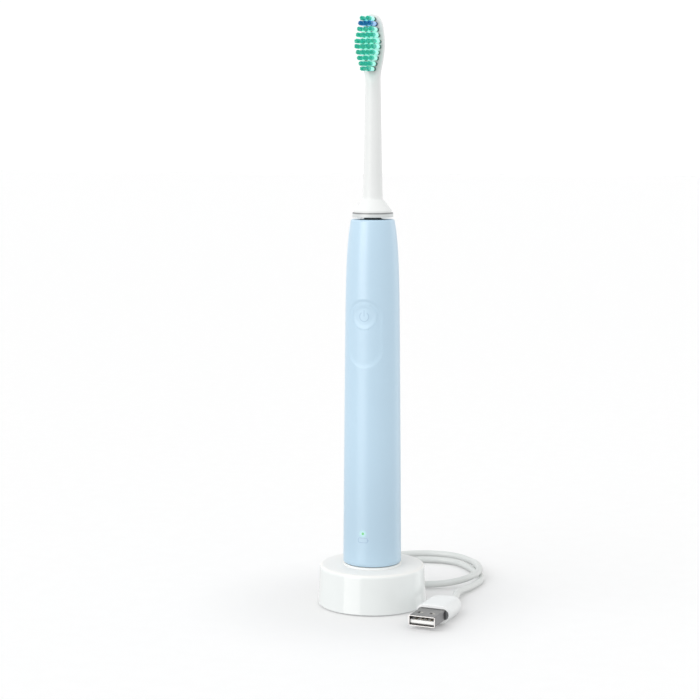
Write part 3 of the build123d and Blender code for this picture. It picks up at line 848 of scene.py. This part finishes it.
def oval_reach(centre, way, grown):
    """How far the grip's oval, grown by some width, lies from a centre along a way."""
    near, far = 0.0, 40 * MM
    for _ in range(30):
        middle = (near + far) / 2
        x, z = centre[0] + way[0] * middle, centre[1] + way[1] * middle
        near, far = (middle, far) if grip_distance(x, z) < grown else (near, middle)
    return near


def grip_stops(centre, way, start, hole):
    """Distances from a window's border to the button's hole, dense over the grip's slope."""
    outer = min(oval_reach(centre, way, 0.4 * MM), start * 0.98)
    inner = max(oval_reach(centre, way, -GRIP_RAMP - 0.2 * MM), hole * 1.04)
    spans = [(start, outer, 5), (outer, inner, 16), (inner, hole, 6)]
    return [a + (b - a) * i / count for a, b, count in spans for i in range(1, count + 1)]


def lamp_stops(centre, way, start, hole):
    """Even distances from a window's border to the lamp's hole."""
    return [start + (hole - start) * i / LAMP_RINGS for i in range(1, LAMP_RINGS + 1)]


def fill_window(shape, loop, centre, hole, stops, place):
    """Fills a window with rings that shrink from its border to a round hole, and returns the last."""
    ways, starts = [], []
    for vertex in loop:
        dx, dz = vertex.co.x - centre[0], vertex.co.z - centre[1]
        starts.append(hypot(dx, dz))
        ways.append((dx / starts[-1], dz / starts[-1]))
    reaches = [stops(centre, way, start, hole) for way, start in zip(ways, starts)]
    ring = loop
    for level in range(len(reaches[0])):
        inner = [shape.verts.new(place(centre[0] + w[0] * r[level], centre[1] + w[1] * r[level]))
                 for w, r in zip(ways, reaches)]
        bridge(shape, ring, inner)
        ring = inner
    return ring


def make_handle_shell():
    """The handle's housing: a thin wall with the grip's soft hollow, and holes for button and lamp."""
    shape = bmesh.new()
    low, high = housing_low.z, housing_high.z
    plain = high - low - 2 * END_ROWS
    count = round(plain / ROW_STEP)
    heights = [low + up * MM for up in FOOT_ROWS]
    heights += [low + END_ROWS + plain * i / count for i in range(count + 1)]
    heights += [high - down * MM for down in TOP_ROWS]
    roof = high - WALL
    outer = [wall_ring(shape, z, handle_radius(z), seat_depth) for z in heights]
    inner_heights = [z for z in heights if z < roof]
    inner = [wall_ring(shape, z, handle_radius(z) - WALL) for z in inner_heights]
    caps = [wall_ring(shape, high, radius) for radius in (handle_radius(high), SHAFT_HOLE)]
    caps += [wall_ring(shape, roof, radius) for radius in (SHAFT_HOLE, handle_radius(roof) - WALL)]
    windows = [(button_centre, BUTTON_HOLE, (grip_low.z, grip_high.z), BUTTON_COLUMNS, grip_stops),
               (lamp_centre, LAMP_HOLE, (lamp_centre.z, lamp_centre.z), LAMP_COLUMNS, lamp_stops)]
    holes = []
    for rings, levels, inset, depth in ((outer, heights, 0.0, seat_depth),
                                        (inner, inner_heights, WALL, None)):
        cut = {}
        for centre, hole, (bottom, top), reach, stops in windows:
            first = max(i for i, z in enumerate(levels) if z < bottom - WINDOW_MARGIN)
            last = min(i for i, z in enumerate(levels) if z > top + WINDOW_MARGIN)
            for row in range(first, last):
                cut[row] = [c % COLUMNS for c in range(-reach, reach)]

            def place(x, z, inset=inset, depth=depth):
                return wall_point(x, z, inset + (depth(x, z) if depth else 0.0))

            loop = window_loop(rings, first, last, reach)
            holes.append(fill_window(shape, loop, (centre.x, centre.z), hole, stops, place))
        for row in range(len(rings) - 1):
            bridge(shape, rings[row], rings[row + 1], cut.get(row, ()))
    for outside, inside in zip(holes, holes[len(windows):]):
        bridge(shape, outside, inside)
    for first, second in zip([outer[-1], *caps], [*caps, inner[-1]]):
        bridge(shape, first, second)
    bridge(shape, inner[0], outer[0])
    return add_piece("handle_shell", shape, "handle", "handle_blue", ["handle_housing"])


SEAT_FIT = 0.005 * MM            # the pad's back sits this far off its seat
PAD_INSET = 0.03 * MM            # and its edge this far inside the oval
PAD_STEPS = 30
PAD_SPOKES = 144


def make_grip_pad():
    """The soft pad in the handle's hollow, with the button's round hole and rounded rims."""
    shape = bmesh.new()
    centre = (button_centre.x, button_centre.z)
    top, bottom = [], []
    ways = [(cos(2 * pi * i / PAD_SPOKES), sin(2 * pi * i / PAD_SPOKES)) for i in range(PAD_SPOKES)]
    ends = [oval_reach(centre, way, -PAD_INSET) for way in ways]
    for step in range(PAD_STEPS + 1):
        share = (step / PAD_STEPS) ** 2
        upper, lower = [], []
        for way, end in zip(ways, ends):
            reach = BUTTON_HOLE + (end - BUTTON_HOLE) * share
            x, z = centre[0] + way[0] * reach, centre[1] + way[1] * reach
            inward = min(1.0, max(0.0, 1 - (reach - BUTTON_HOLE) / SEAM_RIM))
            rounding = SEAM_RIM * (1 - sqrt(1 - inward * inward))
            upper.append(wall_point(x, z, pad_depth(x, z) + rounding))
            lower.append(wall_point(x, z, seat_depth(x, z) - SEAT_FIT))
        top.append(upper)
        bottom.append(lower)
    skin(shape, top + bottom[::-1], closed=True)
    add_piece("grip_pad", shape, "handle", "grip_blue", ["thumb_grip"])


def round_button(reach):
    """Points (x, z) round the button's middle, at a distance from it."""
    angles = [4 * pi * i / PAD_SPOKES for i in range(PAD_SPOKES // 2)]
    return [(button_centre.x + reach * cos(a), button_centre.z + reach * sin(a)) for a in angles]


def make_button_cap():
    """The power button: dished for the fingertip, with a rounded rim and a straight side."""
    shape = bmesh.new()
    flat = BUTTON_RADIUS - SEAM_RIM
    profile = [(flat * i / 16, 0.0) for i in range(1, 17)]
    for angle in map(radians, (22, 45, 67, 90)):
        profile.append((flat + SEAM_RIM * sin(angle), SEAM_RIM * (1 - cos(angle))))
    rings = []
    for reach, drop in profile:
        dish = BUTTON_DISH * smoothstep((DISH_EDGE - reach) / (DISH_EDGE - DISH_FLOOR))
        rings.append([wall_point(x, z, GRIP_DEPTH + dish + drop) for x, z in round_button(reach)])
    for reach in (BUTTON_RADIUS, BUTTON_RADIUS * 0.5):
        rings.append([Vector((x, button_high.y, z)) for x, z in round_button(reach)])
    skin(shape, rings)
    return add_piece("button_cap", shape, "button", "grip_blue", ["power_button"])


handle_shell = make_handle_shell()
make_grip_pad()
button_cap = make_button_cap()


# ---------------------------------------------------------------- brush head
HEAD_SPOKES = 72
cad_head = surface_of(nodes["brush_head_body"].data)
head_low, head_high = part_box("brush_head_body")
head_top = head_high.z - 0.02 * MM           # rays still meet the plate at this height
PLATE_START, PLATE_FULL = 236.0 * MM, 243.0 * MM     # where the neck turns into the plate
PLATE_WIDEST = 0.9 * MM          # the plate is widest this far behind its front
FRONT_SQUARE, BACK_SQUARE = 1.6, 0.35                # how much squarer than round the plate is
# Radius and height over the skirt's foot, in millimetres, down the inside of the head.
HEAD_HOLLOW = ((0.4, 12.2), (3.05, 12.2), (3.05, 5.3), (7.7, 0.7), (7.7, 0.0))
SKIRT_ROWS = (0.01, 0.3, 0.6, 0.95, 1.4, 1.9, 2.3, 2.75, 3.2, 3.6, 4.05, 4.6, 5.2, 5.8, 6.1, 7.0, 9.0)
NECK_START, NECK_STEP, NECK_ROWS = 11, 2.5, 18       # the first two in millimetres
PLATE_ROWS = 44


def head_extent(z):
    """Half width, front and back of the brush head at a height."""
    z = min(z, head_top)
    middle = 0.3 * MM
    right = cad_head.ray_cast(Vector((RAY_START, middle, z)), Vector((-1, 0, 0)))[0].x
    front = cad_head.ray_cast(Vector((0, -RAY_START, z)), Vector((0, 1, 0)))[0].y
    back = cad_head.ray_cast(Vector((0, RAY_START, z)), Vector((0, -1, 0)))[0].y
    return right, front, back


def head_ring(z):
    """A section of the head: round in the neck, flat in front and rounded behind in the plate."""
    half, front, back = head_extent(z)
    flatness = smoothstep((z - PLATE_START) / (PLATE_FULL - PLATE_START))
    widest = flatness * (front + PLATE_WIDEST)
    ring = []
    for i in range(HEAD_SPOKES):
        angle = 2 * pi * i / HEAD_SPOKES
        power = 2 / (2 + (FRONT_SQUARE if sin(angle) < 0 else BACK_SQUARE) * flatness)
        across = abs(cos(angle)) ** power * (1 if cos(angle) > 0 else -1)
        deep = abs(sin(angle)) ** power
        y = widest + deep * ((front - widest) if sin(angle) < 0 else (back - widest))
        ring.append(Vector((half * across, y, z)))
    return ring


def round_ring(radius, z):
    """A round section of the head's hollow."""
    angles = [2 * pi * i / HEAD_SPOKES for i in range(HEAD_SPOKES)]
    return [Vector((radius * cos(angle), radius * sin(angle), z)) for angle in angles]


def make_head_shell():
    """The brush head's body: hollow skirt, neck and bristle plate in one smooth skin."""
    shape = bmesh.new()
    low = head_low.z
    rings = [round_ring(radius * MM, low + up * MM) for radius, up in HEAD_HOLLOW]
    heights = [low + up * MM for up in SKIRT_ROWS]
    heights += [low + (NECK_START + NECK_STEP * i) * MM for i in range(NECK_ROWS)]
    start = heights[-1]
    heights += [start + (head_top - start) * sin(pi / 2 * i / PLATE_ROWS)
                for i in range(1, PLATE_ROWS + 1)]
    rings += [head_ring(z) for z in heights]
    skin(shape, rings)
    add_piece("head_shell", shape, "brush_head", "head_white", ["brush_head_body"])


make_head_shell()


# ---------------------------------------------------------------- bristles
TUFT_RADIUS = 0.85 * MM
TUFT_SPREAD = 0.93 * MM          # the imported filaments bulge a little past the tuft's hole
FILAMENT_RADIUS = 0.14 * MM
FILAMENT_SIDES = 6
# How far along a bristle, and its thickness there.
FILAMENT_SHAPE = ((0.0, 1.0), (0.35, 1.0), (0.7, 0.98), (0.94, 0.95), (0.985, 0.78), (1.0, 0.35))
ROOT_DRAW, TUFT_SPLAY = 0.97, 1.12           # roots and tips, spread against an even tuft
TIP_SCATTER, TIP_SHORTER, BOW = 0.045 * MM, 0.3, 0.03    # random; the last two in millimetres
PEAK_DEPTH = 0.35 * MM
TUFTS_IN_ROW = (2, 3, 3, 4, 4, 4, 4, 3, 3, 2)
BLUE_ROW = 2
MIDDLE_ROWS = (5, 6)             # these two rows are trimmed to a peak between them


def tuft_centres(node, count):
    """The axis of each tuft in a row, evenly spaced over the row's box."""
    low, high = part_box(node)
    first, last = low.x + TUFT_RADIUS, high.x - TUFT_RADIUS
    xs = [first + (last - first) * i / (count - 1) for i in range(count)]
    return [(x, (low.z + high.z) / 2) for x in xs], low.y, high.y


def filament(shape, root, tip, radius, bow):
    """One bristle: a slim round rod with a slight bow and a rounded end."""
    rings = []
    for along, size in FILAMENT_SHAPE:
        middle = root.lerp(tip, along) + bow * sin(pi * along)
        ring = []
        for side in range(FILAMENT_SIDES):
            angle = 2 * pi * side / FILAMENT_SIDES
            ring.append(middle + Vector((cos(angle), 0, sin(angle))) * radius * size)
        rings.append(ring)
    skin(shape, rings)


def packed_disc(radius, rings=3):
    """Centres of round rods packed into a disc, as (x, z) from its middle."""
    yield 0.0, 0.0
    for ring in range(1, rings + 1):
        for i in range(6 * ring):
            angle = 2 * pi * (i + 0.5 * (ring % 2)) / (6 * ring)
            yield radius * ring / rings * cos(angle), radius * ring / rings * sin(angle)


def make_tuft_row(number, count):
    """All the tufts of one row, bristle by bristle."""
    node = f"tuft_row_{number:02d}"
    centres, tip_y, root_y = tuft_centres(node, count)
    chance = random.Random(number)
    shape = bmesh.new()
    peak = {MIDDLE_ROWS[0]: -1, MIDDLE_ROWS[1]: 1}.get(number, 0)
    for x, z in centres:
        for dx, dz in packed_disc(TUFT_SPREAD - FILAMENT_RADIUS):
            root = Vector((x + dx * ROOT_DRAW, root_y, z + dz * ROOT_DRAW))
            longer = PEAK_DEPTH * (1 + peak * dz / TUFT_RADIUS) if peak else 0.0
            tip = Vector((x + dx * TUFT_SPLAY, tip_y - longer, z + dz * TUFT_SPLAY))
            tip += Vector((chance.gauss(0, TIP_SCATTER), chance.uniform(0, TIP_SHORTER) * MM,
                           chance.gauss(0, TIP_SCATTER)))
            bow = Vector((chance.gauss(0, BOW), 0, chance.gauss(0, BOW))) * MM
            filament(shape, root, tip, FILAMENT_RADIUS, bow)
    finish = "bristle_blue" if number == BLUE_ROW else "bristle_teal"
    add_piece(f"bristles_row_{number:02d}", shape, "brush_head", finish, [node])


for row, count in enumerate(TUFTS_IN_ROW, start=1):
    make_tuft_row(row, count)


# ---------------------------------------------------------------- printed marks
MARK_PROUD, MARK_SUNK = 0.02 * MM, 0.05 * MM     # a mark stands up, and reaches into the surface
# Across a line, from its middle in half widths, and the height over the surface.
RIBBON_SECTION = ((-1.0, -MARK_SUNK), (-1.0, MARK_PROUD * 0.6), (-0.6, MARK_PROUD),
                  (0.6, MARK_PROUD), (1.0, MARK_PROUD * 0.6), (1.0, -MARK_SUNK))


def front_point(surface, x, z, proud):
    """The point of the front surface at x and z, raised by proud towards the front."""
    hit = surface.ray_cast(Vector((x, cad_low.y, z)), Vector((0, 1, 0)))[0]
    return Vector((x, hit.y - proud, z))


def ribbon(shape, surface, line, width, closed=False):
    """A thin raised line on a surface, along (x, z) points."""
    count = len(line)
    rings = []
    for i, (x, z) in enumerate(line):
        before = line[(i - 1) % count] if closed or i > 0 else line[i]
        after = line[(i + 1) % count] if closed or i < count - 1 else line[i]
        along = Vector((after[0] - before[0], after[1] - before[1])).normalized()
        side = Vector((-along.y, along.x)) * width / 2
        ring = []
        for share, raised in RIBBON_SECTION:
            ring.append(front_point(surface, x + side.x * share, z + side.y * share, raised))
        rings.append(ring)
    skin(shape, rings, closed)


def dense(line, step):
    """The same closed line with more points, so that it can follow a curved surface."""
    points = []
    for first, second in zip(line, line[1:] + line[:1]):
        parts = max(1, round(hypot(second[0] - first[0], second[1] - first[1]) / step))
        for i in range(parts):
            share = i / parts
            points.append((first[0] + (second[0] - first[0]) * share,
                           first[1] + (second[1] - first[1]) * share))
    return points


def arc_points(x, z, radius, start, end, count):
    """Points of an arc, with its angles in degrees counted from +X."""
    for i in range(count):
        angle = radians(start + (end - start) * i / (count - 1))
        yield x + radius * cos(angle), z + radius * sin(angle)


SYMBOL_RADIUS = 2.1 * MM
SYMBOL_LINE = 0.42 * MM
SYMBOL_START, SYMBOL_END = 124, 416      # the ring's ends, in degrees from +X
BAR_LOW, BAR_HIGH = 0.15 * MM, 2.95 * MM     # the bar's ends over the button's middle


def make_power_symbol():
    """The usual power sign on the button: an open ring and a short upright bar."""
    surface = surface_of(button_cap.data)
    shape = bmesh.new()
    x, z = button_centre.x, button_centre.z
    ring = list(arc_points(x, z, SYMBOL_RADIUS, SYMBOL_START, SYMBOL_END, 49))
    bar = [(x, z + BAR_LOW + (BAR_HIGH - BAR_LOW) * i / 6) for i in range(7)]
    for line in (ring, bar):
        ribbon(shape, surface, line, SYMBOL_LINE)
    add_piece("power_symbol", shape, "button", "mark_blue")


BATTERY_MARK = (4.3 * MM, 2.1 * MM)      # width and height over the line's middle
BATTERY_MARK_DROP = 3.0 * MM             # its centre lies this far under the lamp
BATTERY_MARK_ROUND = 0.55 * MM
BATTERY_MARK_STEP = 0.2 * MM             # between the points of its outline
BATTERY_MARK_LINE = 0.22 * MM
TERMINAL_GAP, TERMINAL_HEIGHT = 0.32 * MM, 0.76 * MM     # the short bar beside the outline


def make_battery_mark():
    """The outline of a battery under the lamp, with its terminal at the right."""
    surface = surface_of(handle_shell.data)
    shape = bmesh.new()
    x, z = lamp_centre.x, lamp_centre.z - BATTERY_MARK_DROP
    half_w, half_h = BATTERY_MARK[0] / 2, BATTERY_MARK[1] / 2
    inner_w, inner_h = half_w - BATTERY_MARK_ROUND, half_h - BATTERY_MARK_ROUND
    outline = []
    for side_x, side_z, start in ((1, 1, 0), (-1, 1, 90), (-1, -1, 180), (1, -1, 270)):
        outline += arc_points(x + side_x * inner_w, z + side_z * inner_h, BATTERY_MARK_ROUND,
                              start, start + 90, 7)
    outline = dense(outline, BATTERY_MARK_STEP)
    ribbon(shape, surface, outline, BATTERY_MARK_LINE, closed=True)
    aside, below = half_w + TERMINAL_GAP, TERMINAL_HEIGHT / 2
    terminal = [(x + aside, z - below + TERMINAL_HEIGHT * i / 4) for i in range(5)]
    ribbon(shape, surface, terminal, BATTERY_MARK_LINE)
    add_piece("battery_mark", shape, "handle", "mark_low")


make_power_symbol()
make_battery_mark()


# ---------------------------------------------------------------- finishes of the early pieces
for piece, finish in ((cable, "cable_white"), (plug_body, "plug_white"), (tabs, "nickel_strip"),
                      (floor, "floor_white")):
    piece.data.materials.append(FINISHES[finish].material)
